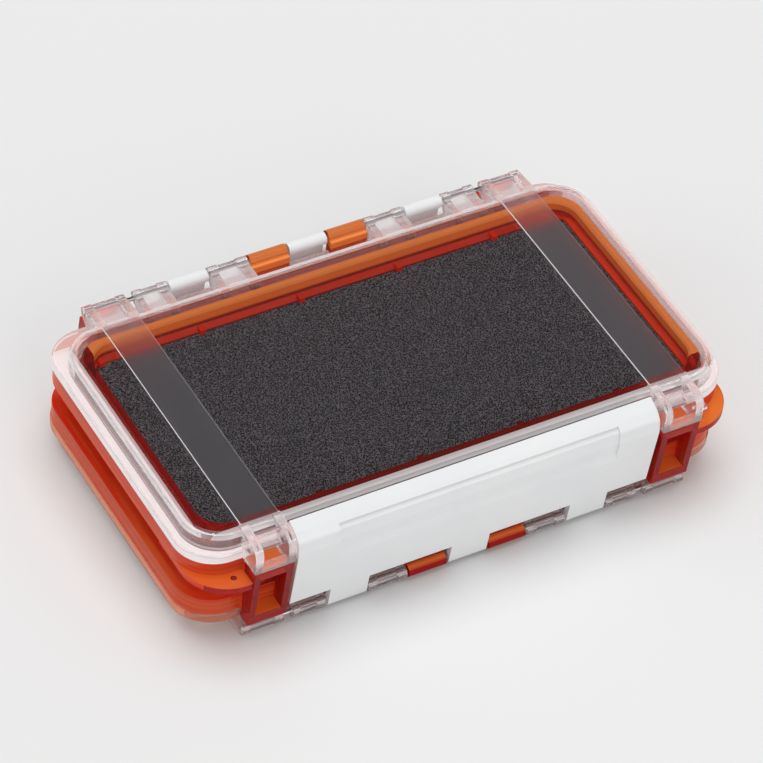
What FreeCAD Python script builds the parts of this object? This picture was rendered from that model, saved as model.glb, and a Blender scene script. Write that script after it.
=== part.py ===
import FreeCAD, Part
import math
import os

# A two-sided waterproof fly box.
# A translucent body holds a foam pad on each side. A clear lid closes each side,
# and a white latch panel on the opposite edge clips over the front lip of the lid.
# The box looks the same after half a turn about its long axis, so every piece of
# the upper half is modelled once and turned for the lower half.
# X runs along the box, Y from the front to the rear, Z up. Sizes in millimetres.
# Levels are counted from the middle plane of the box while a piece is modelled.

# Body
body_height = 17.6            # between the two sealing faces
body_inset = 0.3              # body edge inside the rim of the lid
band_height = 5.6             # thick band under each sealing face
band_bevel_width = 1.7        # bevel along the edge that faces the waist
band_bevel_height = 0.6
waist_inset = 5.4             # waist inside the bands
waist_corner = 6.0
web_thickness = 2.0           # floor shared by the two trays

# Upstanding sealing wall of the body
wall_gap = 1.0                # to the inside of the lid, front and ends
wall_gap_rear = 1.2           # the same at the rear, where the lid swings past
wall_thickness = 2.2
wall_headroom = 0.45          # under the ceiling of the lid
wall_top_bevel = 0.45         # along both edges of its top
wall_lean = 0.5               # inner face leans in by this
wall_lean_rear = 1.2
lean_height = 2.8
shelf_width = 1.0             # shelf that frames the foam
shelf_height = 1.35
mouth_corner = 7.0
shelf_corner = 5.0
tray_corner = 2.4
nib_count = 5                 # small keeper ribs on the shelf, front and rear
nib_end_inset = 2.0           # first rib from the left end of the foam well
nib_pitch_share = 0.208       # of the length of the well
nib_width = 1.4
nib_depth = 1.3               # over the edge of the foam

# Gasket in its groove round the sealing wall
groove_depth = 0.9
groove_height = 1.5
groove_lift = 0.4             # groove above the sealing face
gasket_clearance = 0.1
gasket_stand = 0.8            # stands out of the wall by this

# Foam
foam_gap = 0.15               # to the tray walls

# Lid
lid_length = 150.0            # over the rim
lid_depth = 83.6              # over the rim, front to rear
lid_height = 7.95             # from the underside of the rim to the panel
lid_seat_gap = 0.2            # closed lid above the sealing face
rim_thickness = 2.6
rim_corner = 10.4
rim_edge_bevel = 0.4
ledge_end = 1.8               # ledge round the raised cap
ledge_front = 1.1
ledge_rear = 5.8
cap_corner = 9.8
cap_edge_radius = 1.6         # rounded in two slanted steps
panel_thickness = 1.9
lid_wall = 2.0
cavity_corner = 8.2
seal_recess_depth = 0.8       # wider space for the gasket
seal_recess_height = 2.5
strip_height = 0.35           # frosted strips raised on the panel
strip_width = 10.1

# Lip of the lid for the latch
lip_reach = 3.5               # in front of the cap
lip_drop = 2.35               # below the panel
lip_slope = 1.3               # fall of the top face to its edge
lip_edge = 1.3
lip_root = 2.9

# Brackets at the front corners of the lid
bracket_inset = 13.2          # outer face from the end of the lid
bracket_width = 11.0
bracket_rib = 2.2
bracket_reach = 6.3           # in front of the rim
bracket_fall = 0.6            # fall of its top edge to the front
bracket_shoulder = 3.4        # radius of its upper shoulder
bracket_bar_height = 1.9
bracket_bar_depth = 1.6
nub_radius = 0.9
nub_length = 1.8
nub_lift = 2.6                # nub above the lower end of the bracket
nub_setback = 1.8             # nub behind the front face

# Hinges
hinge_overhang = 1.2          # axis behind the rim of the lid
hinge_drop = 2.45             # axis below the panel of the lid
pin_radius = 0.6
pin_clearance = 0.05
pin_inset = 0.4               # pin ends inside the outer ears
ear_radius = 1.8
hub_half = 1.1                # half side of the bar between two ears
lug_radius = 1.6
row_end_gap = 2.7             # from the last knuckle to the bracket
knuckle_gap = 0.6
lug_share = 0.232             # shares of the row without its gaps
body_knuckle_share = 0.2276
lid_knuckle_share = 0.232
knuckle_ear_share = 0.24      # share of a knuckle taken by each ear
body_arm_depth = 2.5
body_arm_inset = 0.2          # outer face of the arm inside the hinge axis
rim_notch_gap = 0.35

# Latch
latch_end_gap = 0.9           # to the brackets
latch_wall = 1.7
latch_setback = 0.5           # bulge of the panel behind the front of the brackets
latch_bulge_drop = 7.35       # below the panel of the lid, as the other drops
latch_brow_setback = 0.5      # behind the bulge, as the other setbacks
latch_brow_drop = 3.85
latch_shoulder_setback = 2.3
latch_shoulder_drop = 1.95
latch_tip_setback = 5.7       # tip of the hook
latch_tip_drop = 0.55
latch_bend_radius = 2.0
latch_cut_height = 5.5        # clear of the knuckles, from the axis
grip_end_margin = 11.3        # to the end of the latch
grip_depth = 0.6
grip_top_drop = 2.55
grip_height = 8.1             # down to the sloping foot of the recess
grip_foot_run = 2.5

# Corner blocks of the body
block_gap = 0.4               # under the bracket
block_side_gap = 0.3          # block narrower than the bracket
block_setback = 0.2           # top of the leaning face behind the bracket front
block_lean = 2.0
block_side_wall = 1.7         # round the recess
block_head = 2.8
block_sole = 3.1
block_skirt = 2.1             # in front of the other lid, past its sealing face
block_skirt_gap = 0.5         # to the rim of that lid
block_recess_depth = 4.2

# Lanyard ears at the front corners of the body
tab_thickness = 1.8
tab_overhang = 5.3            # in front of the rim
tab_corner = 11.6
tab_length = 22.7             # front to rear
lanyard_hole_radius = 0.75
lanyard_hole_inset = 10.2     # from the end of the lid
lanyard_hole_setback = 3.6    # from the front of the tab

overrun = 5.0                 # cutters run past a face by this

# Levels and outlines that follow from the sizes
X_AXIS = FreeCAD.Vector(1, 0, 0)
Z_AXIS = FreeCAD.Vector(0, 0, 1)
HALF_TURN = 180

seal_level = body_height / 2
band_foot = seal_level - band_height
rim_level = seal_level + lid_seat_gap
rim_top = rim_level + rim_thickness
panel_level = rim_level + lid_height
half_height = panel_level + strip_height
ceiling_level = panel_level - panel_thickness
wall_top = ceiling_level - wall_headroom
shelf_top = wall_top - lean_height
foam_top = shelf_top - shelf_height
web_top = web_thickness / 2
hinge_level = panel_level - hinge_drop
bore_radius = pin_radius + pin_clearance
hinge_reach = lid_depth / 2 + hinge_overhang
bracket_front = lid_depth / 2 + bracket_reach
bracket_outer = lid_length / 2 - bracket_inset
bracket_inner = bracket_outer - bracket_width
latch_end = bracket_inner - latch_end_gap
latch_bulge_reach = bracket_front - latch_setback
lip_top_level = panel_level - lip_drop
grip_top_level = panel_level - grip_top_drop
grip_foot_level = grip_top_level - grip_height
grip_end_level = grip_foot_level - grip_foot_run
tab_reach = lid_depth / 2 + tab_overhang
lanyard_hole_x = lid_length / 2 - lanyard_hole_inset
lanyard_hole_y = tab_reach - lanyard_hole_setback


def rect(half_x, front, rear, corner):
    """Plan outline: half length, reach to the front and to the rear, corner radius."""
    return {"x": half_x, "front": front, "rear": rear, "corner": corner}


def grow(outline, by, by_rear=None, corner=None):
    """The outline moved outwards, with its own distance at the rear and corner if given."""
    by_rear = by if by_rear is None else by_rear
    corner = outline["corner"] + by if corner is None else corner
    return rect(outline["x"] + by, outline["front"] + by, outline["rear"] + by_rear, corner)


rim_outline = rect(lid_length / 2, lid_depth / 2, lid_depth / 2, rim_corner)
cap_outline = rect(
    rim_outline["x"] - ledge_end,
    rim_outline["front"] - ledge_front,
    rim_outline["rear"] - ledge_rear,
    cap_corner,
)
cavity_outline = grow(cap_outline, -lid_wall, corner=cavity_corner)
wall_outline = grow(cavity_outline, -wall_gap, -wall_gap_rear)
band_outline = grow(rim_outline, -body_inset)
waist_outline = grow(band_outline, -waist_inset, corner=waist_corner)
mouth_outline = grow(wall_outline, -wall_thickness, corner=mouth_corner)
shelf_outline = grow(mouth_outline, -wall_lean, -wall_lean_rear, shelf_corner)
tray_outline = grow(shelf_outline, -shelf_width, corner=tray_corner)


# Shapes that several pieces use
def outline_wire(outline, level):
    """Rounded rectangle at a level, drawn with lines and quarter arcs."""
    x, front, rear, r = outline["x"], outline["front"], outline["rear"], outline["corner"]
    diagonal = r * (1 - math.sqrt(0.5))
    edges = []
    corners = [(1, -front, -1), (1, rear, 1), (-1, rear, 1), (-1, -front, -1)]
    ends = []
    for side, y, way in corners:
        along_x = FreeCAD.Vector(side * (x - r), y, level)
        along_y = FreeCAD.Vector(side * x, y - way * r, level)
        middle = FreeCAD.Vector(side * (x - diagonal), y - way * diagonal, level)
        first, last = (along_x, along_y) if side * way < 0 else (along_y, along_x)
        edges.append(Part.Arc(first, middle, last).toShape())
        ends.append((first, last))
    for (_, leaving), (arriving, _) in zip(ends, ends[1:] + ends[:1]):
        edges.append(Part.makeLine(leaving, arriving))
    return Part.Wire(Part.__sortEdges__(edges))


def slab(outline, low, high):
    """Solid of a plan outline between two levels."""
    face = Part.Face(outline_wire(outline, low))
    return face.extrude(Z_AXIS * (high - low))


def tapered(outline_low, low, outline_high, high):
    """Solid between two plan outlines at two levels."""
    return Part.makeLoft([outline_wire(outline_low, low), outline_wire(outline_high, high)], True, True)


def block(x0, x1, y0, y1, z0, z1):
    corner = FreeCAD.Vector(x0, y0, z0)
    return Part.makeBox(x1 - x0, y1 - y0, z1 - z0, corner)


def profile(points, x0, x1):
    """Solid with a closed outline in Y and Z, from x0 to x1."""
    vertices = [FreeCAD.Vector(x0, y, z) for y, z in points]
    return Part.Face(Part.makePolygon(vertices + vertices[:1])).extrude(X_AXIS * (x1 - x0))


def rod(radius, x0, x1, y, z):
    """Round rod along X."""
    return Part.makeCylinder(radius, x1 - x0, FreeCAD.Vector(x0, y, z), X_AXIS)


def both_ends(shapes):
    """The shapes of the right half and their mirror images on the left."""
    return shapes + [s.mirror(FreeCAD.Vector(), X_AXIS) for s in shapes]


def joined(shapes):
    return shapes[0].multiFuse(shapes[1:]).removeSplitter()


def edges_where(shape, test):
    """Edges whose bounding box passes a test."""
    return [e for e in shape.Edges if test(e.BoundBox)]


def half_turned(shape):
    """The piece of the lower half."""
    turned = shape.copy()
    turned.rotate(FreeCAD.Vector(), X_AXIS, HALF_TURN)
    return turned


# Hinge row, counted from the middle of the box outwards
def hinge_row():
    """Spans along X of the right half: latch lug, body, lid, lug and lid knuckles."""
    shares = [("body", body_knuckle_share), ("lid", lid_knuckle_share), ("lug", lug_share)]
    end = bracket_inner - row_end_gap
    knuckles = end - knuckle_gap * (len(shares) + 1)
    half_lug = knuckles * lug_share / 2
    spans = [("lug", -half_lug, half_lug)]
    start = half_lug + knuckle_gap
    for kind, share in shares:
        spans.append((kind, start, start + knuckles * share))
        start += knuckles * share + knuckle_gap
    return spans + [("lid", start, end)]


def spans_of(kind):
    """Spans of one kind on both halves."""
    found = []
    for name, x0, x1 in hinge_row():
        if name == kind:
            found.append((x0, x1))
            if x0 > 0:
                found.append((-x1, -x0))
    return sorted(found)


def ear(x0, x1, foot):
    """Round ear on the hinge axis, with the arm that carries it."""
    return [rod(ear_radius, x0, x1, hinge_reach, hinge_level), profile(foot, x0, x1)]


def hub(x0, x1, inside):
    """Square bar along the hinge axis, slimmer than the ears at its ends."""
    low, high = hinge_level - hub_half, hinge_level + hub_half
    return block(x0, x1, inside, hinge_reach + hub_half, low, high)


def pin_bore(x0, x1):
    return rod(bore_radius, x0, x1, hinge_reach, hinge_level)


# Body
def sealing_wall():
    """Wall that stands up inside the lid, with a bevel along the outer edge of its top."""
    bevel_foot = wall_top - wall_top_bevel
    upright = slab(wall_outline, seal_level - band_height / 2, bevel_foot)
    bevel = tapered(wall_outline, bevel_foot, grow(wall_outline, -wall_top_bevel), wall_top)
    return [upright, bevel]


def tray_cut():
    """Space of one tray: foam well, sloping shelf, leaning mouth and its bevelled edge."""
    bevel_foot = wall_top - wall_top_bevel
    edge_outline = grow(mouth_outline, wall_top_bevel)
    well = slab(tray_outline, web_top, foam_top)
    shelf = tapered(tray_outline, foam_top, shelf_outline, shelf_top)
    mouth = tapered(shelf_outline, shelf_top, mouth_outline, bevel_foot)
    edge = tapered(mouth_outline, bevel_foot, edge_outline, wall_top)
    above = slab(edge_outline, wall_top, wall_top + overrun)
    return joined([well, shelf, mouth, edge, above])


def keeper_nibs():
    """Small ribs on the front and rear shelves that keep the foam down."""
    rear, front = tray_outline["rear"], -tray_outline["front"]
    rear_span = (rear - nib_depth, rear + wall_thickness)
    front_span = (front - wall_thickness, front + nib_depth)
    first = nib_end_inset - tray_outline["x"]
    pitch = 2 * tray_outline["x"] * nib_pitch_share
    nibs = []
    for k in range(nib_count):
        x = first + k * pitch - nib_width / 2
        for y0, y1 in (rear_span, front_span):
            nibs.append(block(x, x + nib_width, y0, y1, foam_top, shelf_top))
    return nibs


def corner_block():
    """Block under the right bracket, with a leaning face and a deep recess."""
    x0, x1 = bracket_inner + block_side_gap, bracket_outer - block_side_gap
    top, foot = rim_level - block_gap, -(seal_level + block_skirt)
    face_top = -(bracket_front - block_setback)
    face_foot = face_top + block_lean
    back = -(waist_outline["front"] - block_side_wall)
    skirt_back = -(rim_outline["front"] + block_skirt_gap)
    side = [
        (back, top),
        (face_top, top),
        (face_foot, foot),
        (skirt_back, foot),
        (skirt_back, -seal_level),
        (back, -seal_level),
    ]
    solid = profile(side, x0, x1)
    lean = block_lean / (top - foot)
    recess_top, recess_foot = top - block_head, foot + block_sole
    outside = face_top - overrun
    back_top = face_top + block_head * lean + block_recess_depth
    back_foot = face_foot - block_sole * lean + block_recess_depth
    recess = [
        (outside, recess_top),
        (back_top, recess_top),
        (back_foot, recess_foot),
        (outside, recess_foot),
    ]
    return solid.cut(profile(recess, x0 + block_side_wall, x1 - block_side_wall))


def lanyard_tab():
    """Flat ear at the right front corner, and the drill for its lanyard hole."""
    low, high = band_foot, band_foot + tab_thickness
    plate = slab(rect(band_outline["x"], tab_reach, band_outline["rear"], tab_corner), low, high)
    inner = bracket_outer - block_side_wall
    zone = block(inner, lid_length / 2, -tab_reach, tab_length - tab_reach, low, high)
    inside = slab(grow(band_outline, -band_bevel_width), low, high)
    centre = FreeCAD.Vector(lanyard_hole_x, -lanyard_hole_y, low - overrun)
    drill = Part.makeCylinder(lanyard_hole_radius, tab_thickness + 2 * overrun, centre)
    return plate.common(zone).cut(inside), drill


def body_arm():
    """Outline of the arm that carries a hinge knuckle of the body."""
    rear = hinge_reach - body_arm_inset
    front = rear - body_arm_depth
    foot = seal_level - band_height / 2
    return [(front, foot), (rear, foot), (rear, hinge_level), (front, hinge_level)]


def body_half():
    """Band, sealing wall, hinge knuckles and corner blocks of the upper half."""
    bevel_top = band_foot + band_bevel_height
    bevel = tapered(grow(band_outline, -band_bevel_width), band_foot, band_outline, bevel_top)
    band = slab(band_outline, bevel_top, seal_level)
    knuckles = [piece for x0, x1 in spans_of("body") for piece in ear(x0, x1, body_arm())]
    return joined([bevel, band] + sealing_wall() + knuckles + both_ends([corner_block()]))


def gasket_groove():
    low = seal_level + groove_lift
    high = low + groove_height
    ring = slab(grow(wall_outline, overrun), low, high)
    return ring.cut(slab(grow(wall_outline, -groove_depth), low, high))


def make_body():
    upper = body_half()
    core = slab(waist_outline, -band_height, band_height)
    tab, drill = lanyard_tab()
    solid = joined([upper, core, half_turned(upper)] + both_ends([tab]))
    cutters = [tray_cut(), gasket_groove()]
    for x0, x1 in spans_of("body"):
        cutters.append(pin_bore(x0 - knuckle_gap, x1 + knuckle_gap))
    for cutter in cutters:
        solid = solid.cut(cutter).cut(half_turned(cutter))
    for cutter in both_ends([drill]):
        solid = solid.cut(cutter)
    nibs = keeper_nibs()
    return joined([solid] + nibs + [half_turned(nib) for nib in nibs])


# Foam pad and gasket
def make_foam():
    return slab(grow(tray_outline, -foam_gap), web_top, foam_top)


def make_gasket():
    """Flat ring that fills its groove and stands out of it."""
    low = seal_level + groove_lift + gasket_clearance
    high = low + groove_height - 2 * gasket_clearance
    ring = slab(grow(wall_outline, gasket_stand), low, high)
    return ring.cut(slab(grow(wall_outline, gasket_clearance - groove_depth), low, high))


# Lid
def rim():
    """Flange of the lid with a bevel along its upper edge."""
    bevel_foot = rim_top - rim_edge_bevel
    bevel = tapered(rim_outline, bevel_foot, grow(rim_outline, -rim_edge_bevel), rim_top)
    return [slab(rim_outline, rim_level, bevel_foot), bevel]


def cap():
    """Raised cap of the lid, with its upper edge rounded in two slanted steps."""
    shoulder = panel_level - cap_edge_radius
    halfway = cap_edge_radius * math.sqrt(0.5)
    middle_outline = grow(cap_outline, halfway - cap_edge_radius)
    step = tapered(cap_outline, shoulder, middle_outline, shoulder + halfway)
    top = tapered(middle_outline, shoulder + halfway, grow(cap_outline, -cap_edge_radius), panel_level)
    return [slab(cap_outline, rim_level, shoulder), step, top]


def cavity():
    """Space under the lid, wider at its foot for the gasket."""
    low = rim_level - overrun
    space = slab(cavity_outline, low, ceiling_level)
    recess = slab(grow(cavity_outline, seal_recess_depth), low, rim_level + seal_recess_height)
    return space.fuse(recess)


def strip():
    """Raised frosted strip, from the front to the rear edge of the panel."""
    x0 = bracket_inner + (bracket_width - strip_width) / 2
    front = -(cap_outline["front"] - cap_edge_radius)
    rear = cap_outline["rear"] - cap_edge_radius
    return block(x0, x0 + strip_width, front, rear, ceiling_level + panel_thickness / 2, half_height)


def latch_lip():
    """Sloping lip along the front of the cap, between the outer ribs."""
    face = -cap_outline["front"]
    root, edge = face + lid_wall / 2, face - lip_reach
    edge_level = lip_top_level - lip_slope
    points = [
        (root, lip_top_level),
        (face, lip_top_level),
        (edge, edge_level),
        (edge, edge_level - lip_edge),
        (face, lip_top_level - lip_root),
        (root, lip_top_level - lip_root),
    ]
    reach = bracket_outer - bracket_rib / 2
    return profile(points, -reach, reach)


def bracket():
    """Right front bracket: two ribs with a rounded shoulder, and the bar between their feet."""
    front, top = -bracket_front, half_height
    start = -(cap_outline["front"] - cap_edge_radius)
    inside = -cap_outline["front"] + lid_wall
    side = [
        (inside, rim_level),
        (front, rim_level),
        (front, top - bracket_fall),
        (start, top),
        (inside, top),
    ]
    ribs = []
    for x0 in (bracket_inner, bracket_outer - bracket_rib):
        rib = profile(side, x0, x0 + bracket_rib)
        shoulder = edges_where(rib, lambda b: b.YMax < front + bracket_rib and b.ZMin > top - bracket_rib)
        ribs.append(rib.makeFillet(bracket_shoulder, shoulder))
    bar = block(
        bracket_inner + bracket_rib / 2, bracket_outer - bracket_rib / 2,
        front, front + bracket_bar_depth, rim_level, rim_level + bracket_bar_height,
    )
    return ribs + [bar]


def gate_nub():
    """Small round nub on the outside of the right bracket."""
    y, z = nub_setback - bracket_front, rim_level + nub_lift
    return rod(nub_radius, bracket_outer - bracket_rib / 2, bracket_outer + nub_length, y, z)


def lid_knuckle(x0, x1):
    """Two ears joined by a slimmer bar, on the rear of the cap and the ledge."""
    inside = cap_outline["rear"] - lid_wall / 2
    ledge = rim_top - rim_thickness / 2
    arm = [
        (inside, ledge),
        (inside, panel_level - cap_edge_radius),
        (hinge_reach, hinge_level + hub_half),
        (hinge_reach, hinge_level - hub_half),
        (hinge_reach - ear_radius, ledge),
    ]
    width = (x1 - x0) * knuckle_ear_share
    return ear(x0, x0 + width, arm) + ear(x1 - width, x1, arm) + [hub(x0 + width, x1 - width, inside)]


def outer_hinge():
    """Two ears behind the right strip, joined by a hub."""
    inside = cap_outline["rear"] - cap_edge_radius
    slant = ear_radius * math.sqrt(0.5)
    ledge = rim_top - rim_thickness / 2
    side = [
        (inside, ledge),
        (inside, half_height),
        (hinge_reach, hinge_level + ear_radius),
        (hinge_reach + slant, hinge_level - slant),
        (hinge_reach - ear_radius, ledge),
    ]
    pieces = [hub(bracket_inner, bracket_outer, inside)]
    for x0 in (bracket_inner, bracket_outer - bracket_rib):
        pieces += ear(x0, x0 + bracket_rib, side)
    return pieces


def rim_notches():
    """Room in the rear ledge for the knuckles of the body."""
    front = hinge_reach - body_arm_inset - body_arm_depth - rim_notch_gap
    rear = hinge_reach + overrun
    notches = []
    for x0, x1 in spans_of("body"):
        notches.append(block(x0 - rim_notch_gap, x1 + rim_notch_gap, front, rear, rim_level, rim_top))
    return notches


def make_lid():
    knuckles = [piece for x0, x1 in spans_of("lid") for piece in lid_knuckle(x0, x1)]
    ends = both_ends([strip()] + bracket() + outer_hinge())
    solid = joined(rim() + cap() + [latch_lip(), gate_nub()] + ends + knuckles)
    bore = pin_bore(-bracket_outer - overrun, bracket_outer + overrun)
    for cutter in [cavity(), bore] + rim_notches():
        solid = solid.cut(cutter)
    return solid.removeSplitter()


# Latch
def moved_path(points, distance):
    """The path moved sideways by a distance, with mitred bends."""
    normals = []
    for (y0, z0), (y1, z1) in zip(points, points[1:]):
        length = math.hypot(y1 - y0, z1 - z0)
        normals.append(((z0 - z1) / length, (y1 - y0) / length))
    moved = []
    for k, (y, z) in enumerate(points):
        before, after = normals[max(k - 1, 0)], normals[min(k, len(normals) - 1)]
        scale = distance / (1 + before[0] * after[0] + before[1] * after[1])
        moved.append((y + (before[0] + after[0]) * scale, z + (before[1] + after[1]) * scale))
    return moved


def latch_face():
    """Outer path of the front latch, from the tip of the hook down to a tangent of the lug."""
    axis_y, axis_z = -hinge_reach, -hinge_level
    bulge_y, bulge_z = -latch_bulge_reach, panel_level - latch_bulge_drop
    away = math.hypot(bulge_y - axis_y, bulge_z - axis_z)
    run = math.sqrt(away * away - lug_radius * lug_radius)
    heading = math.atan2(axis_z - bulge_z, axis_y - bulge_y) - math.asin(lug_radius / away)
    return [
        (bulge_y + latch_tip_setback, panel_level - latch_tip_drop),
        (bulge_y + latch_shoulder_setback, panel_level - latch_shoulder_drop),
        (bulge_y + latch_brow_setback, panel_level - latch_brow_drop),
        (bulge_y, bulge_z),
        (bulge_y + run * math.cos(heading), bulge_z + run * math.sin(heading)),
    ]


def point_at(path, level):
    """Place on the path at a level."""
    for (y0, z0), (y1, z1) in zip(path, path[1:]):
        if z1 <= level <= z0:
            return (y0 + (y1 - y0) * (level - z0) / (z1 - z0), level)


def grip_recess(outer):
    """Shallow finger recess from the shoulder down, with a sloping foot."""
    floor = moved_path(outer, grip_depth)
    bends = [(y, z) for y, z in floor if grip_foot_level < z < grip_top_level]
    outside = -latch_bulge_reach - overrun
    points = [(outside, grip_top_level), point_at(floor, grip_top_level)]
    points += bends
    points += [point_at(floor, grip_foot_level), point_at(outer, grip_end_level), (outside, grip_end_level)]
    half_length = latch_end - grip_end_margin
    return profile(points, -half_length, half_length)


def make_latch():
    """Panel with its hook, finger recess and cut-outs between the three lugs."""
    outer = latch_face()
    inner = moved_path(outer, latch_wall)
    plate = profile(outer + inner[::-1], -latch_end, latch_end)
    bends = outer[1:-1] + inner[1:-1]
    plate = plate.makeFillet(latch_bend_radius, edges_where(plate, lambda b: along_bend(b, bends)))
    plate = plate.cut(grip_recess(outer))
    y, z = -hinge_reach, -hinge_level
    front, rear = y - lug_radius - overrun, y + lug_radius + overrun
    foot, cut_top = z - lug_radius - overrun, z + latch_cut_height
    for x0, x1 in gaps_between_lugs():
        plate = plate.cut(block(x0, x1, front, rear, foot, cut_top))
    lugs = [rod(lug_radius, x0, x1, y, z) for x0, x1 in spans_of("lug")]
    solid = joined([plate] + lugs)
    return solid.cut(rod(bore_radius, -latch_end, latch_end, y, z))


def along_bend(b, bends):
    """Whether an edge runs along X at one of the bends."""
    y, z = (b.YMin + b.YMax) / 2, (b.ZMin + b.ZMax) / 2
    return b.XLength > latch_end and any(math.hypot(y - py, z - pz) < pin_clearance for py, pz in bends)


def gaps_between_lugs():
    """Spans along X on both sides of every lug."""
    edges = [x for span in spans_of("lug") for x in span]
    edges = [-latch_end - overrun] + edges + [latch_end + overrun]
    return list(zip(edges[::2], edges[1::2]))


# Hinge pin
def make_pin():
    end = bracket_outer - pin_inset
    return rod(pin_radius, -end, end, hinge_reach, hinge_level)


def main():
    lid, latch, foam, gasket, pin = make_lid(), make_latch(), make_foam(), make_gasket(), make_pin()
    pieces = {
        "body_shell": make_body(),
        "top_lid": lid,
        "bottom_lid": half_turned(lid),
        "front_latch": latch,
        "rear_latch": half_turned(latch),
        "top_foam": foam,
        "bottom_foam": half_turned(foam),
        "top_gasket": gasket,
        "bottom_gasket": half_turned(gasket),
        "rear_hinge_pin": pin,
        "front_hinge_pin": half_turned(pin),
    }
    os.makedirs("parts", exist_ok=True)
    for name, shape in pieces.items():
        shape.translate(Z_AXIS * half_height)
        shape.exportStep(os.path.join("parts", name + ".step"))
        print(name, "solids", len(shape.Solids), "valid", shape.isValid(), "volume", round(shape.Volume))


main()
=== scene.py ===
# %% [markdown]
# This is a waterproof fly box for fishing flies, about 150 mm long.
# A tinted see-through body holds a foam pad on each side, and a clear lid closes each side.
# A white latch panel on each long edge hangs on the hinge of one side
# and hooks over the lid of the other.
# The solids of the box come ready made, so this script gives them their finishes,
# makes the soft foam pads in detail, and sets the light and the camera.
# %% Load the box
import math

import bmesh
import bpy
from mathutils import Matrix, Vector


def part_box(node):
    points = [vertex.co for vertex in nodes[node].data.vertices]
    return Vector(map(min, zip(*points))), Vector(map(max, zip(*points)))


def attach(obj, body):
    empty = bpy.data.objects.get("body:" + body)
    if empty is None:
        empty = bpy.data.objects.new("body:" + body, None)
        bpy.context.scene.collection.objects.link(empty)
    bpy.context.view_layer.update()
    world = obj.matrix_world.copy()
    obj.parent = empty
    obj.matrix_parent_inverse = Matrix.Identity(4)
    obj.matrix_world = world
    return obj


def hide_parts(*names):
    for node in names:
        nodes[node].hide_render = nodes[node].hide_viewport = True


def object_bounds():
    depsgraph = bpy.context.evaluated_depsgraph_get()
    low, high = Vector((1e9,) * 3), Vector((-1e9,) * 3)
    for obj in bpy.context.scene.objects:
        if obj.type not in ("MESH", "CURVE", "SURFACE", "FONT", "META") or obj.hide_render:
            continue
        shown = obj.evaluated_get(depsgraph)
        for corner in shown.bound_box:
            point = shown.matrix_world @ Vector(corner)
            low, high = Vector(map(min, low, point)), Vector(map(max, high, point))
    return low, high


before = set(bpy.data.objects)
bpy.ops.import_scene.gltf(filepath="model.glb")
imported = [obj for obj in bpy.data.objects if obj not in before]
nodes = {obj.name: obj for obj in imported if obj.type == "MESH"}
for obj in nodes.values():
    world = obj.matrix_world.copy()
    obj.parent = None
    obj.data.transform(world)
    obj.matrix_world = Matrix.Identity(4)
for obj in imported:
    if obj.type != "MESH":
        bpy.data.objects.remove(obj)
box_low, box_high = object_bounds()
print("pieces of the box:", sorted(nodes))
print("box size in mm:", [round(1000 * x, 1) for x in box_high - box_low])

# %% [markdown]
# The rest of the script is easier to read with one word for a millimetre.
# Blender counts in metres, and a fly box is described in millimetres.
# %% Millimetres
MM = 0.001
middle_level = (box_low.z + box_high.z) / 2
print("middle of the box at", round(middle_level / MM, 2), "mm")

# %% [markdown]
# Every finish is a small network of nodes.
# A node is made, its sockets are set by name, and its output is joined to the next one.
# A few short helpers keep each finish readable. The plain finishes are one Principled shader each,
# because it covers plastic, foam, rubber and steel with the same sockets.
# %% Helpers for finishes
def new_finish(name):
    """An empty material and its node tree."""
    material = bpy.data.materials.new(name)
    material.use_nodes = True
    material.node_tree.nodes.clear()
    return material, material.node_tree


def add_node(tree, kind, sockets=None, **settings):
    """A node with its settings and its sockets; a socket takes a value or another node's output."""
    node = tree.nodes.new("ShaderNode" + kind)
    for key, value in settings.items():
        setattr(node, key, value)
    for key, value in (sockets or {}).items():
        if isinstance(value, bpy.types.NodeSocket):
            tree.links.new(value, node.inputs[key])
        else:
            node.inputs[key].default_value = value
    return node


def plain_surface(tree, sockets):
    """A Principled shader with its sockets, joined to the output."""
    shader = add_node(tree, "BsdfPrincipled", sockets)
    add_node(tree, "OutputMaterial", {"Surface": shader.outputs["BSDF"]})


def give(node_name, material):
    """Puts one finish on a ready-made piece."""
    piece = nodes[node_name]
    piece.data.materials.clear()
    piece.data.materials.append(material)
    print(node_name, "has the finish", material.name)


print("helpers ready")

# %% [markdown]
# Where a finish changes over a piece, its numbers and colours are worked out by nodes too.
# One helper does the sums and one multiplies, one stretches a span to another,
# and two blend from one colour or number to the next.
# %% Sums and blends
def maths(tree, operation, *numbers, **settings):
    """The result of a Math node on one or two numbers, or outputs of nodes."""
    sockets = dict(enumerate(numbers))
    return add_node(tree, "Math", sockets, operation=operation, **settings).outputs[0]


def both(tree, first, second):
    """The product of two numbers: 1 where both are 1."""
    return maths(tree, "MULTIPLY", first, second)


def map_range(tree, value, given, wanted, **settings):
    """A number that runs over the wanted span while the value runs over the given one."""
    sockets = {
        "Value": value,
        "From Min": given[0],
        "From Max": given[1],
        "To Min": wanted[0],
        "To Max": wanted[1],
    }
    return add_node(tree, "MapRange", sockets, **settings).outputs["Result"]


def tone(tree, factor, first, second):
    """A colour between two colours or the outputs of two nodes."""
    return add_node(tree, "Mix", {0: factor, 6: first, 7: second}, data_type="RGBA").outputs[2]


def blend(tree, factor, first, second):
    """A number between two numbers or the outputs of two nodes."""
    return add_node(tree, "Mix", {0: factor, 2: first, 3: second}).outputs[0]


print("sums and blends ready")

# %% [markdown]
# Moulded plastic is never perfectly even.
# Its colour drifts a little where the melt flowed, and its skin is faintly uneven.
# Noise textures of several sizes give that drift, read at the piece's own place in metres,
# so the pattern stays on the piece when it moves.
# A noise texture mostly lies between 0.3 and 0.7,
# so that span is stretched to the whole range of a tone.
# %% Place on the piece, and soft unevenness
noise_low, noise_high = 0.3, 0.7


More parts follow.
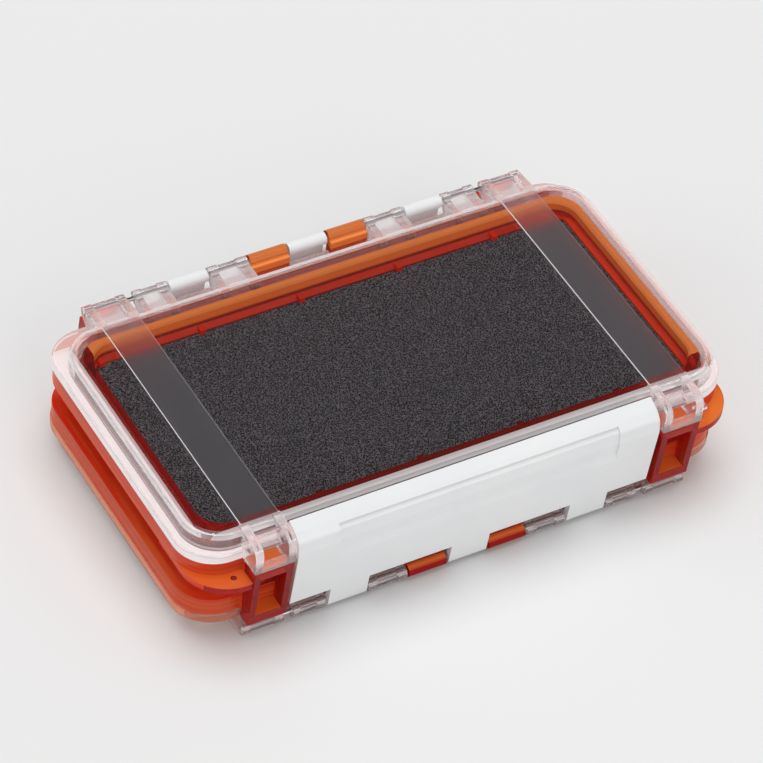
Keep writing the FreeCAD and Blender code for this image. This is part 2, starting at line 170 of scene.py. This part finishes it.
def place_on_piece(tree):
    """The place of a point in metres, which rides with the piece."""
    return add_node(tree, "TexCoord").outputs["Object"]


def noise(tree, size_mm, detail=2.0, rough=0.5):
    """Noise whose blotches are about size_mm across."""
    sockets = {
        "Vector": place_on_piece(tree),
        "Scale": 1 / (size_mm * MM),
        "Detail": detail,
        "Roughness": rough,
    }
    return add_node(tree, "TexNoise", sockets).outputs["Fac"]


def between(tree, factor, low, high):
    """A number that runs from low to high as a noise runs over its span."""
    return map_range(tree, factor, (noise_low, noise_high), (low, high))


def two_tones(tree, factor, first, second):
    """A colour that runs from one tone to the other as a noise runs over its span."""
    ramp = add_node(tree, "ValToRGB", {"Fac": factor})
    ends = zip(ramp.color_ramp.elements, (noise_low, noise_high), (first, second))
    for element, position, colour in ends:
        element.position, element.color = position, (*colour, 1)
    return ramp.outputs["Color"]


def ripple(tree, height, depth_mm):
    """Bump as deep as depth_mm, from a height that runs from 0 to 1."""
    sockets = {"Height": height, "Distance": depth_mm * MM, "Strength": 1.0}
    return add_node(tree, "Bump", sockets).outputs["Normal"]


print("unevenness ready")

# %% [markdown]
# Clear and tinted plastic let light through to what is behind them.
# A path tracer finds few light paths through curved clear solids,
# so their shadows come out black and grainy.
# Real thin plastic throws a pale shadow in its own tint.
# For shadow rays alone the finish is therefore a plain tinted filter,
# and for all else it bends and reflects light.
# Haze is mixed into the clear shader as a share that scatters light,
# part of it back and part of it onward.
# %% Pale shadows and haze of see-through plastic
def with_pale_shadow(tree, surface, filter_tint):
    """Joins a surface to the output, as a tinted filter for shadow rays."""
    path = add_node(tree, "LightPath")
    clear = add_node(tree, "BsdfTransparent", {"Color": (*filter_tint, 1)})
    sockets = {0: path.outputs["Is Shadow Ray"], 1: surface, 2: clear.outputs["BSDF"]}
    mix = add_node(tree, "MixShader", sockets)
    return add_node(tree, "OutputMaterial", {"Surface": mix.outputs["Shader"]})


def cloudy(tree, clear, cloud, amount, onward):
    """Clear plastic with an amount of haze, which scatters its onward share of light forwards."""
    front = add_node(tree, "BsdfDiffuse", {"Color": cloud}).outputs["BSDF"]
    through = add_node(tree, "BsdfTranslucent", {"Color": cloud}).outputs["BSDF"]
    haze = add_node(tree, "MixShader", {0: onward, 1: front, 2: through}).outputs["Shader"]
    mix = add_node(tree, "MixShader", {0: amount, 1: clear.outputs["BSDF"], 2: haze})
    return mix.outputs["Shader"]


print("pale shadows and haze ready")

# %% [markdown]
# The finishes of the body and the lids change from level to level and from face to face.
# The box is the same on both sides, so a height is counted from its middle, up or down,
# and a place across the box is counted towards the hinge of the side that a point belongs to,
# so that the latch of each side lies on the minus side of the middle.
# A colour ramp then holds one tone for each level.
# %% Heights, faces and levels
ramp_reach = 20


def inside_span(tree, value, low, high):
    """1 where the value lies between low and high."""
    above = maths(tree, "GREATER_THAN", value, low)
    return both(tree, above, maths(tree, "LESS_THAN", value, high))


def place_parts(tree):
    """Place along the box, place towards the hinge, and height, all from the middle."""
    xyz = add_node(tree, "SeparateXYZ", {"Vector": place_on_piece(tree)}).outputs
    level = maths(tree, "ADD", xyz["Z"], -middle_level)
    towards_hinge = both(tree, xyz["Y"], maths(tree, "SIGN", level))
    return xyz["X"], towards_hinge, maths(tree, "ABSOLUTE", level)


def levelness(tree, low, high):
    """0 on upright faces, rising to 1 on level ones."""
    facing = add_node(tree, "TexCoord").outputs["Normal"]
    steep = maths(tree, "ABSOLUTE", add_node(tree, "SeparateXYZ", {"Vector": facing}).outputs["Z"])
    return map_range(tree, steep, (low, high), (0.0, 1.0))


def by_height(tree, height, stops):
    """The tone for a height, out of (height in mm, colour) stops up to ramp_reach mm."""
    ramp = add_node(tree, "ValToRGB", {"Fac": both(tree, height, 1 / (ramp_reach * MM))})
    elements = ramp.color_ramp.elements
    while len(elements) < len(stops):
        elements.new(0.5)
    for element, (mm, colour) in zip(elements, stops):
        element.position, element.color = mm / ramp_reach, (*colour, 1)
    return ramp.outputs["Color"]


print("heights ready")

# %% [markdown]
# The body is moulded in orange polycarbonate that light shines through.
# One wall looks orange, and several walls behind one another look deep red.
# Clear plastic alone comes out too thin and grey, because light that enters at an edge
# and glows inside the walls is beyond a path tracer, so part of the surface scatters its own tone:
# orange on the sealing wall, red in the tray and in the waist between the two flanges.
# The tones also carry painted light and shade: a brighter orange on the top of the sealing wall and
# on the level faces of the flanges, and darker red bands just above the flange, under the lid, and
# at the foot of the sealing wall.
# %% Tones of the body, level by level
waist_red, tray_red, flange_red = (0.90, 0.035, 0.015), (1.0, 0.07, 0.03), (1.0, 0.095, 0.035)
shade_red, wall_orange, rim_orange = (0.42, 0.055, 0.025), (1.0, 0.22, 0.05), (1.0, 0.32, 0.09)
streak_orange, block_red = (1.0, 0.21, 0.055, 1), (0.38, 0.012, 0.014, 1)
# The darker red and tint of the walls on the latch side and at the left end are painted shade.
wall_shade_red, wall_shade_tint = (0.30, 0.022, 0.016, 1), (0.75, 0.16, 0.07, 1)
bounce_grey = (0.45, 0.36, 0.34, 1)
# The darker red bands just above the flange and at the foot of the sealing wall are painted shade;
# the brighter orange at the top of the sealing wall is painted light.
body_stops = [
    (3.7, waist_red), (3.85, flange_red), (8.7, flange_red), (8.9, shade_red),
    (10.3, shade_red), (10.5, tray_red), (11.85, tray_red), (11.95, shade_red),
    (12.4, shade_red), (12.8, wall_orange), (13.9, wall_orange), (14.2, rim_orange),
]
print("the body changes tone at", [mm for mm, _ in body_stops], "mm from its middle")

# %% [markdown]
# Some places of the body go by more than their level.
# The sealing walls on the latch side and at the left end, with the nibs on them, are toned down
# with painted shade, darker than the far walls as if the light came from the rear right.
# The blocks on the long edges are thick, so their upright faces are a deep red, partly the thick
# plastic and partly painted shade.
# Long thin streaks of a brighter orange run round the box.
# Each place is a number that is 1 there and 0 elsewhere, so that a tone can be blended in by it.
# %% Places on the body
left_wall, latch_nibs = -66.6 * MM, -32.6 * MM
block_face = 42.6 * MM
flange_low, flange_high, flange_face = 3.85 * MM, 9.0 * MM, 8.85 * MM
wall_foot, wall_top = 12.4 * MM, 15 * MM
streak_scale, streak_most = (22, 22, 1100), 0.8


def painted_wall_shade(tree):
    """1 on the latch side and left end of the sealing walls, which get painted shade."""
    along, towards_hinge, height = place_parts(tree)
    left = maths(tree, "LESS_THAN", along, left_wall)
    latch_side = maths(tree, "LESS_THAN", towards_hinge, latch_nibs)
    either = maths(tree, "MAXIMUM", left, latch_side)
    return both(tree, either, maths(tree, "GREATER_THAN", height, flange_face))


def hinge_blocks(tree):
    """1 on the upright faces of the blocks on the long edges."""
    outwards = maths(tree, "ABSOLUTE", place_parts(tree)[1])
    block = maths(tree, "GREATER_THAN", outwards, block_face)
    return maths(tree, "SUBTRACT", block, levelness(tree, 0.5, 0.9), use_clamp=True)


def orange_streaks(tree, height):
    """Up to streak_most along long thin streaks round the body, below the face of the flange."""
    stretch = add_node(tree, "Mapping", {"Vector": place_on_piece(tree), "Scale": streak_scale})
    sockets = {"Vector": stretch.outputs["Vector"], "Scale": 1.0, "Detail": 3.0}
    lines = add_node(tree, "TexNoise", sockets).outputs["Fac"]
    streaks = map_range(tree, lines, (0.40, 0.62), (0.0, streak_most))
    return both(tree, streaks, maths(tree, "LESS_THAN", height, flange_face))


print("places on the body ready")

# %% [markdown]
# The finish of the body is a clear orange shader with haze in it.
# The haze takes its tone from the level and the place, and it is thickest on the sealing wall.
# Light that bounces off the box on to its neighbours is greyer than what the eye sees,
# because so strong an orange would colour the whole table.
# The plastic also swallows light on its way through, more of it in thick walls.
# %% Orange plastic of the body
haze_upright, haze_level, haze_wall, haze_wall_shade = 0.54, 0.58, 0.90, 0.34
onward_body, onward_wall = 0.18, 0.06
bounce_share = 0.35
body_shadow = (0.43, 0.39, 0.385)


def body_cloud(tree, drift, wall_shade, height):
    """The tone that the haze in the body scatters."""
    at_flange = inside_span(tree, height, flange_low, flange_high)
    # Level faces of the flange take a brighter orange: painted light from above.
    flat_flange = both(tree, at_flange, levelness(tree, 0.7, 0.95))
    flange_orange = two_tones(tree, drift, (0.98, 0.22, 0.035), (1.0, 0.31, 0.05))
    cloud = tone(tree, flat_flange, by_height(tree, height, body_stops), flange_orange)
    cloud = tone(tree, orange_streaks(tree, height), cloud, streak_orange)
    # The dark red on the upright faces of the blocks is partly the thick plastic and partly painted
    # shade.
    cloud = tone(tree, hinge_blocks(tree), cloud, block_red)
    # Painted shade: a darker red on the walls on the latch side and at the left end.
    cloud = tone(tree, wall_shade, cloud, wall_shade_red)
    bounced = both(tree, add_node(tree, "LightPath").outputs["Is Diffuse Ray"], bounce_share)
    return tone(tree, bounced, cloud, bounce_grey)


def orange_plastic():
    material, tree = new_finish("orange_plastic")
    drift = noise(tree, 24, detail=3)
    # The walls on the latch side and at the left end take painted shade: a darker tint and less
    # haze.
    wall_shade, height = painted_wall_shade(tree), place_parts(tree)[2]
    tint = two_tones(tree, drift, (0.96, 0.36, 0.09), (0.98, 0.43, 0.12))
    clear = add_node(tree, "BsdfPrincipled", {
        "Base Color": tone(tree, wall_shade, tint, wall_shade_tint),
        "Roughness": between(tree, noise(tree, 6), 0.04, 0.10),
        "IOR": 1.5,
        "Transmission Weight": 1.0,
        "Normal": ripple(tree, noise(tree, 9), 0.02),
    })
    sealing_wall = inside_span(tree, height, wall_foot, wall_top)
    haze = blend(tree, levelness(tree, 0.2, 0.9), haze_upright, haze_level)
    haze = blend(tree, sealing_wall, haze, haze_wall)
    haze = blend(tree, wall_shade, haze, haze_wall_shade)
    onward = blend(tree, sealing_wall, onward_body, onward_wall)
    surface = cloudy(tree, clear, body_cloud(tree, drift, wall_shade, height), haze, onward)
    output = with_pale_shadow(tree, surface, body_shadow)
    depth = add_node(tree, "VolumeAbsorption", {"Color": (0.99, 0.62, 0.25, 1), "Density": 350.0})
    tree.links.new(depth.outputs["Volume"], output.inputs["Volume"])
    return material


give("body_shell", orange_plastic())

# %% [markdown]
# The lids are clear plastic, polished like glass.
# Two strips across each lid are frosted, and blur the foam behind them.
# The frost could be a separate film, but it is part of the moulding, so the same finish
# becomes rough where a point lies on a strip: a band along X, on the outermost level of the lid.
# The edges of the strips carry painted highlights, fine white lines, strongest on the left one of
# each, where the light comes from the left.
# %% Places on a lid
strip_inner, strip_outer = 51.25 * MM, 61.35 * MM
strip_depth, strip_margin = 0.3 * MM, 0.02 * MM
lid_latch, lid_hinge = 39.1 * MM, 34.4 * MM
panel_end, panel_latch, panel_hinge = 71.3 * MM, 38.8 * MM, 34.1 * MM
panel_low, far_out = 15.0 * MM, 1.0
highlight_width = 0.14 * MM
# Painted highlights on the strip edges, strongest on the left edge of each strip.
edge_highlights = ((-strip_outer, 1.0), (-strip_inner, 0.25), (strip_inner, 1.0), (strip_outer, 0.1))


def frost(tree):
    """1 on the frosted strips."""
    along, towards_hinge, height = place_parts(tree)
    top = box_high.z - middle_level
    inner, outer = strip_inner - strip_margin, strip_outer + strip_margin
    on_strip = inside_span(tree, maths(tree, "ABSOLUTE", along), inner, outer)
    on_panel = inside_span(tree, towards_hinge, -lid_latch, lid_hinge)
    on_top = inside_span(tree, height, top - strip_depth, top + strip_depth)
    return both(tree, both(tree, on_strip, on_panel), on_top)


def panel(tree):
    """1 on the flat panel of a lid."""
    along, towards_hinge, height = place_parts(tree)
    within_length = inside_span(tree, along, -panel_end, panel_end)
    within_width = inside_span(tree, towards_hinge, -panel_latch, panel_hinge)
    flat = both(tree, within_length, within_width)
    return both(tree, flat, inside_span(tree, height, panel_low, far_out))


def painted_edge_highlight(tree):
    """As strong as its painted highlight along each edge of the strips."""
    along = place_parts(tree)[0]
    total = None
    for edge, glint in edge_highlights:
        line = both(tree, inside_span(tree, along, edge - highlight_width, edge + highlight_width), glint)
        total = line if total is None else maths(tree, "ADD", total, line)
    return both(tree, total, frost(tree))


print("places on a lid ready")

# %% [markdown]
# The rim of a clear lid looks white, because light is trapped and turned round in it,
# so the rim scatters white light at its flange and its rounded edge, partly painted highlight from
# the light above, and stays clear between them.
# so the rim scatters white light at its flange and its rounded edge, and stays clear between them.
# Between them, and most of all on the hinge side, the eye looks through several walls
# into the coloured body, and the clear plastic is tinted for that.
# The rim of the lower lid lies under the body, and its haze is painted in the body's orange: a
# painted reflection of the body, in place of the white of the upper lid.
# %% Clear plastic of the lids with frosted strips
# The white haze of the rim is partly scattering in the plastic and partly painted highlight.
rim_hazes = [
    (10.9, 0.66), (11.15, 0.16), (11.5, 0.16), (11.58, 0.72), (11.75, 0.72),
    (11.9, 0.07), (15.2, 0.07), (15.5, 0.55), (16.9, 0.38),
]
rim_stops = [(mm, (haze,) * 3) for mm, haze in rim_hazes]
rim_out, rim_low = 42.2 * MM, 8.0 * MM
side_low, side_high = 11.8 * MM, 15.3 * MM
hinge_inner, hinge_outer = 33.6 * MM, 36.6 * MM
hinge_low, hinge_high = 11.7 * MM, 15.6 * MM
side_tint, hinge_tint = (0.88, 0.76, 0.76, 1), (0.50, 0.20, 0.19, 1)
frost_tint = (0.90, 0.90, 0.96, 1)
lid_white, lid_shadow = (0.96, 0.94, 0.95, 1), (0.985, 0.975, 0.98)
haze_ledge, haze_panel, haze_highlight, onward_lid = 0.25, 0.0, 0.85, 0.15


def lid_tint(tree, towards_hinge, height, frosted):
    """The tint of the clear plastic of a lid, from place to place."""
    polished = two_tones(tree, noise(tree, 30), (0.97, 0.955, 0.965), (0.985, 0.975, 0.98))
    polished = tone(tree, inside_span(tree, height, side_low, side_high), polished, side_tint)
    at_hinge = inside_span(tree, towards_hinge, hinge_inner, hinge_outer)
    hinge_wall = both(tree, at_hinge, inside_span(tree, height, hinge_low, hinge_high))
    polished = tone(tree, hinge_wall, polished, hinge_tint)
    return tone(tree, frosted, polished, frost_tint)


def lid_haze(tree, towards_hinge, height, rim, hinge_haze):
    """The share of haze: by height in the rim, and none on the panel but for the painted highlight
    lines on its strips.
    """
    haze = blend(tree, rim, hinge_haze, by_height(tree, height, rim_stops))
    haze = blend(tree, inside_span(tree, towards_hinge, hinge_outer, rim_out), haze, haze_ledge)
    haze = blend(tree, panel(tree), haze, haze_panel)
    return blend(tree, painted_edge_highlight(tree), haze, haze_highlight)


def clear_plastic(name, rim_tone, hinge_haze):
    material, tree = new_finish(name)
    frosted = frost(tree)
    polish = between(tree, noise(tree, 12), 0.0, 0.02)
    grain = between(tree, noise(tree, 0.5), 0.36, 0.46)
    _, towards_hinge, height = place_parts(tree)
    clear = add_node(tree, "BsdfPrincipled", {
        "Base Color": lid_tint(tree, towards_hinge, height, frosted),
        "Roughness": blend(tree, frosted, polish, grain),
        "IOR": 1.56,
        "Specular IOR Level": blend(tree, panel(tree), 0.75, 0.42),
        "Transmission Weight": 1.0,
        "Normal": ripple(tree, noise(tree, 14), 0.012),
    })
    rim = inside_span(tree, towards_hinge, -rim_out, rim_out)
    haze = lid_haze(tree, towards_hinge, height, rim, hinge_haze)
    low_rim = both(tree, rim, inside_span(tree, height, rim_low, side_high))
    cloud = tone(tree, low_rim, lid_white, (*rim_tone, 1))
    with_pale_shadow(tree, cloudy(tree, clear, cloud, haze, onward_lid), lid_shadow)
    return material


# The upper lid's rim haze is white, partly painted highlight; the lower lid's is orange, a painted
# reflection of the body.
give("top_lid", clear_plastic("clear_plastic_upper", (0.97, 0.96, 0.97), 0.09))
give("bottom_lid", clear_plastic("clear_plastic_lower", (0.97, 0.40, 0.25), 0.12))

# %% [markdown]
# The latch panels are white plastic with a satin face, left by a lightly blasted mould.
# Very fine noise in the bump gives that satin, and the white drifts a little between warm and cool.
# %% White plastic of the latches
def white_plastic():
    material, tree = new_finish("white_plastic")
    fine = noise(tree, 0.35, detail=1)
    plain_surface(tree, {
        "Base Color": two_tones(tree, noise(tree, 18), (0.80, 0.81, 0.82), (0.84, 0.845, 0.85)),
        "Roughness": between(tree, fine, 0.30, 0.42),
        "IOR": 1.5,
        "Normal": ripple(tree, fine, 0.01),
    })
    return material


white = white_plastic()
for name in ("front_latch", "rear_latch"):
    give(name, white)

# %% [markdown]
# The gasket is a soft rubber ring in a groove of the sealing wall.
# Rubber has a dull skin with a fine grain, so it is rough and almost without colour change.
# The hinge pins are cut from drawn steel wire, whose fine scratches run along its length.
# %% Gasket rubber and pin steel
def gasket_rubber():
    material, tree = new_finish("gasket_rubber")
    grain = noise(tree, 0.6)
    plain_surface(tree, {
        "Base Color": two_tones(tree, grain, (0.20, 0.035, 0.03), (0.27, 0.05, 0.04)),
        "Roughness": between(tree, grain, 0.5, 0.65),
        "Normal": ripple(tree, grain, 0.02),
    })
    return material


def pin_steel():
    material, tree = new_finish("pin_steel")
    stretch = add_node(tree, "Mapping", {"Vector": place_on_piece(tree), "Scale": (40, 1500, 1500)})
    sockets = {"Vector": stretch.outputs["Vector"], "Scale": 1.0}
    drawn = add_node(tree, "TexNoise", sockets).outputs["Fac"]
    plain_surface(tree, {
        "Base Color": two_tones(tree, drawn, (0.50, 0.50, 0.51), (0.62, 0.62, 0.63)),
        "Metallic": 1.0,
        "Roughness": between(tree, drawn, 0.22, 0.36),
    })
    return material


rubber, steel = gasket_rubber(), pin_steel()
for name in ("top_gasket", "bottom_gasket"):
    give(name, rubber)
for name in ("rear_hinge_pin", "front_hinge_pin"):
    give(name, steel)

# %% [markdown]
# Each tray holds a pad of closed-cell foam that the hooks are pushed into.
# It is cut from a sheet, so it has upright sides and a crisp edge,
# and its face is full of small cells.
# A ready-made block with a bump could do,
# but a pad of its own can have softened edges and a slight crown.
# Its outline is a rounded rectangle, repeated further and further inwards to build the face.
# %% Outline of a foam pad
foam_corner, least_corner = 2.25 * MM, 0.4 * MM
corner_steps = 10


def pad_loop(low, high, inset):
    """Points of the rounded outline, moved inwards."""
    radius = max(foam_corner - inset, least_corner)
    left, right = low.x + inset + radius, high.x - inset - radius
    front, back = low.y + inset + radius, high.y - inset - radius
    centres = [(right, back), (left, back), (left, front), (right, front)]
    points = []
    for k, (x, y) in enumerate(centres):
        for step in range(corner_steps + 1):
            angle = math.radians(90 * (k + step / corner_steps))
            points.append((x + radius * math.cos(angle), y + radius * math.sin(angle)))
    return points


# %% [markdown]
# The pad is built from rings of points: the foot, the side, five rings round the softened edge,
# then rings across the face. The crown lifts the middle of the face by a hair.
# %% Rings of a foam pad
edge_round, crown = 0.45 * MM, 0.12 * MM
foot_inset, foot_height = 0.3 * MM, 0.3 * MM
edge_steps = 4
crown_shares = ((1.2, 0.2), (3, 0.5), (7, 0.8), (14, 0.95), (24, 1.0))


def pad_rings(low, high, up):
    """(inset, level) of each ring, from the foot to the middle of the face."""
    foot, face = (low.z, high.z) if up > 0 else (high.z, low.z)
    rings = [(foot_inset, foot), (0.0, foot + up * foot_height)]
    for k in range(edge_steps + 1):
        angle = math.radians(90 * k / edge_steps)
        level = face - up * (crown + edge_round * (1 - math.sin(angle)))
        rings.append((edge_round * (1 - math.cos(angle)), level))
    for inset_mm, share in crown_shares:
        rings.append((inset_mm * MM, face - up * crown * (1 - share)))
    return rings


# %% [markdown]
# Faces between the rings make the sides and the top,
# and one flat face closes the foot and one the middle of the top.
# The pad rides with the body of the box and stands for the plain block in the same place.
# %% Foam pads
def foam_pad(name, node_name, up):
    """A pad in place of a ready-made block; up is 1 in the upper tray and -1 in the lower one."""
    low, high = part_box(node_name)
    shape = bmesh.new()
    loops = []
    for inset, level in pad_rings(low, high, up):
        loops.append([shape.verts.new((x, y, level)) for x, y in pad_loop(low, high, inset)])
    shape.faces.new(loops[0])
    shape.faces.new(loops[-1])
    for lower, upper in zip(loops, loops[1:]):
        for k in range(len(lower)):
            after = (k + 1) % len(lower)
            shape.faces.new((lower[k], lower[after], upper[after], upper[k]))
    bmesh.ops.recalc_face_normals(shape, faces=shape.faces)
    mesh = bpy.data.meshes.new(name)
    shape.to_mesh(mesh)
    shape.free()
    for face in mesh.polygons:
        face.use_smooth = True
    pad = bpy.data.objects.new(name, mesh)
    bpy.context.scene.collection.objects.link(pad)
    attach(pad, "box")
    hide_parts(node_name)
    print(name, "stands for", node_name, "with", len(mesh.vertices), "points")
    return pad


upper_pad = foam_pad("upper_foam_pad", "top_foam", 1)
lower_pad = foam_pad("lower_foam_pad", "bottom_foam", -1)

# %% [markdown]
# Close up, the foam is a mass of tiny closed bubbles of different sizes, cut through by the blade.
# Voronoi cells are those bubbles: each has a dark hollow, partly the foam's grain and partly
# painted shade, and a lighter rim.
# A coarser noise on top keeps the face from looking printed.
# %% Foam finish
cell_size, lump_size = 0.35, 0.42
# The near-black hollow of each cell is partly grain and partly painted shade.
hollow_black, rim_grey = (0.017, 0.018, 0.019), (0.168, 0.170, 0.184)


def foam_finish():
    material, tree = new_finish("charcoal_foam")
    sockets = {"Vector": place_on_piece(tree), "Scale": 1 / (cell_size * MM)}
    cells = add_node(tree, "TexVoronoi", sockets).outputs["Distance"]
    bubbles = both(tree, cells, noise(tree, lump_size, detail=3, rough=0.6))
    spread = map_range(tree, bubbles, (0.12, 0.40), (0.0, 1.0))
    plain_surface(tree, {
        "Base Color": two_tones(tree, spread, hollow_black, rim_grey),
        "Roughness": 0.85,
        "Specular IOR Level": 0.2,
        "Normal": ripple(tree, spread, 0.12),
    })
    return material


foam = foam_finish()
for pad in (upper_pad, lower_pad):
    pad.data.materials.append(foam)
print("foam finish on both pads")

# %% [markdown]
# The box stands on a plain pale table, so large that its edge is never in view.
# It lies a hair below the box, so that the two faces never share one level.
# Its grey is written as it should look, because the light below is set to a plain level.
# %% Pale floor
floor_reach, floor_gap = 4.0, 0.02 * MM
floor_dark, floor_light = 0.785, 0.805


def pale_floor():
    mesh = bpy.data.meshes.new("floor")
    level = box_low.z - floor_gap
    corners = [(-floor_reach, -floor_reach), (floor_reach, -floor_reach),
               (floor_reach, floor_reach), (-floor_reach, floor_reach)]
    mesh.from_pydata([(x, y, level) for x, y in corners], [], [(0, 1, 2, 3)])
    floor = bpy.data.objects.new("floor", mesh)
    bpy.context.scene.collection.objects.link(floor)
    material, tree = new_finish("pale_table")
    plain_surface(tree, {
        "Base Color": two_tones(tree, noise(tree, 400), (floor_dark,) * 3, (floor_light,) * 3),
        "Roughness": 0.9,
        "Specular IOR Level": 0.1,
    })
    mesh.materials.append(material)
    print("floor at level", round(level / MM, 3), "mm")


pale_floor()

# %% [markdown]
# Soft studio light comes from all round: an even sky, a wide lamp overhead,
# and weaker ones at the left and in front.
# Together they light the box at a plain level, and the shadows stay faint and wide.
# What shiny faces mirror is set apart from that light: white walls round the box,
# and a dark ceiling, so that the lid shows the foam under it and not a bright veil.
# %% Sky
sky_level, studio_white, dark_ceiling = 0.40, 1.0, 0.03
wall_end, ceiling_start = 0.40, 0.62
world = bpy.data.worlds.new("studio")
world.use_nodes = True
sky = world.node_tree
sky.nodes.clear()
direction = add_node(sky, "TexCoord").outputs["Generated"]
upwards = add_node(sky, "SeparateXYZ", {"Vector": direction}).outputs["Z"]
studio = map_range(sky, upwards, (wall_end, ceiling_start), (studio_white, dark_ceiling),
                   interpolation_type="SMOOTHSTEP")
path = add_node(sky, "LightPath").outputs
mirrored = maths(sky, "MAXIMUM", path["Is Glossy Ray"], path["Is Transmission Ray"])
looked_at = maths(sky, "MAXIMUM", mirrored, path["Is Camera Ray"])
strength = blend(sky, looked_at, sky_level, studio)
background = add_node(sky, "Background", {"Color": (1, 1, 1, 1), "Strength": strength})
add_node(sky, "OutputWorld", {"Surface": background.outputs["Background"]})
bpy.context.scene.world = world
print("sky level", sky_level, "and studio walls", studio_white)

# %% [markdown]
# Each lamp is a disc of light far away, given by the way that points towards it.
# The finishes already let lamp light pass to what lies behind a clear wall,
# so the lamps are hidden from light that has been bent by one, which would count it twice.
# %% Lamps
def soft_lamp(name, towards, spread, level, shown):
    """Light from a far disc, spread degrees wide; shown tells if shiny faces mirror it."""
    data = bpy.data.lights.new(name, "SUN")
    data.angle, data.energy = math.radians(spread), level * math.pi
    light = bpy.data.objects.new(name, data)
    light.rotation_mode = "QUATERNION"
    light.rotation_quaternion = Vector(towards).to_track_quat("Z", "Y")
    light.visible_glossy = shown
    light.visible_transmission = False
    bpy.context.scene.collection.objects.link(light)
    print(name, "level", level, "from", towards)


soft_lamp("overhead_lamp", (0.02, 0.12, 1.0), 50, 0.50, False)
soft_lamp("left_lamp", (-1.0, 0.10, 0.45), 40, 0.14, True)
soft_lamp("front_lamp", (0.05, -1.0, 0.55), 40, 0.22, True)

# %% [markdown]
# The camera looks down on the front left corner, from about a metre away, through a long lens.
# It is turned a little about its own axis, as the table edge in such a picture often shows.
# Its direction is given by how far round and how far up it stands,
# and its lens by the scale of a picture that is 763 pixels wide.
# %% Camera
camera_round, camera_up, camera_roll = -32.946, 44.191, 5.903
camera_distance = 1.1074
camera_target = Vector((1.647 * MM, 4.228 * MM, middle_level))
picture_side, focal_pixels, sensor = 763, 4464.07, 36.0

azimuth, rise, roll = (math.radians(x) for x in (camera_round, camera_up, camera_roll))
back = Vector((
    math.sin(azimuth) * math.cos(rise),
    -math.cos(azimuth) * math.cos(rise),
    math.sin(rise),
))
level_right = Vector((math.cos(azimuth), math.sin(azimuth), 0))
level_up = back.cross(level_right)
right = level_right * math.cos(roll) + level_up * math.sin(roll)
up = level_up * math.cos(roll) - level_right * math.sin(roll)

camera = bpy.data.objects.new("camera", bpy.data.cameras.new("camera"))
camera.data.sensor_width = sensor
camera.data.lens = focal_pixels * sensor / picture_side
turn = Matrix((right, up, back)).transposed().to_4x4()
camera.matrix_world = Matrix.Translation(camera_target + back * camera_distance) @ turn
bpy.context.scene.collection.objects.link(camera)
bpy.context.scene.camera = camera
print("lens", round(camera.data.lens, 1), "mm")

# %% [markdown]
# Colours are shown as they are written, without a film look.
# %% Finish
bpy.context.scene.view_settings.view_transform = "Standard"
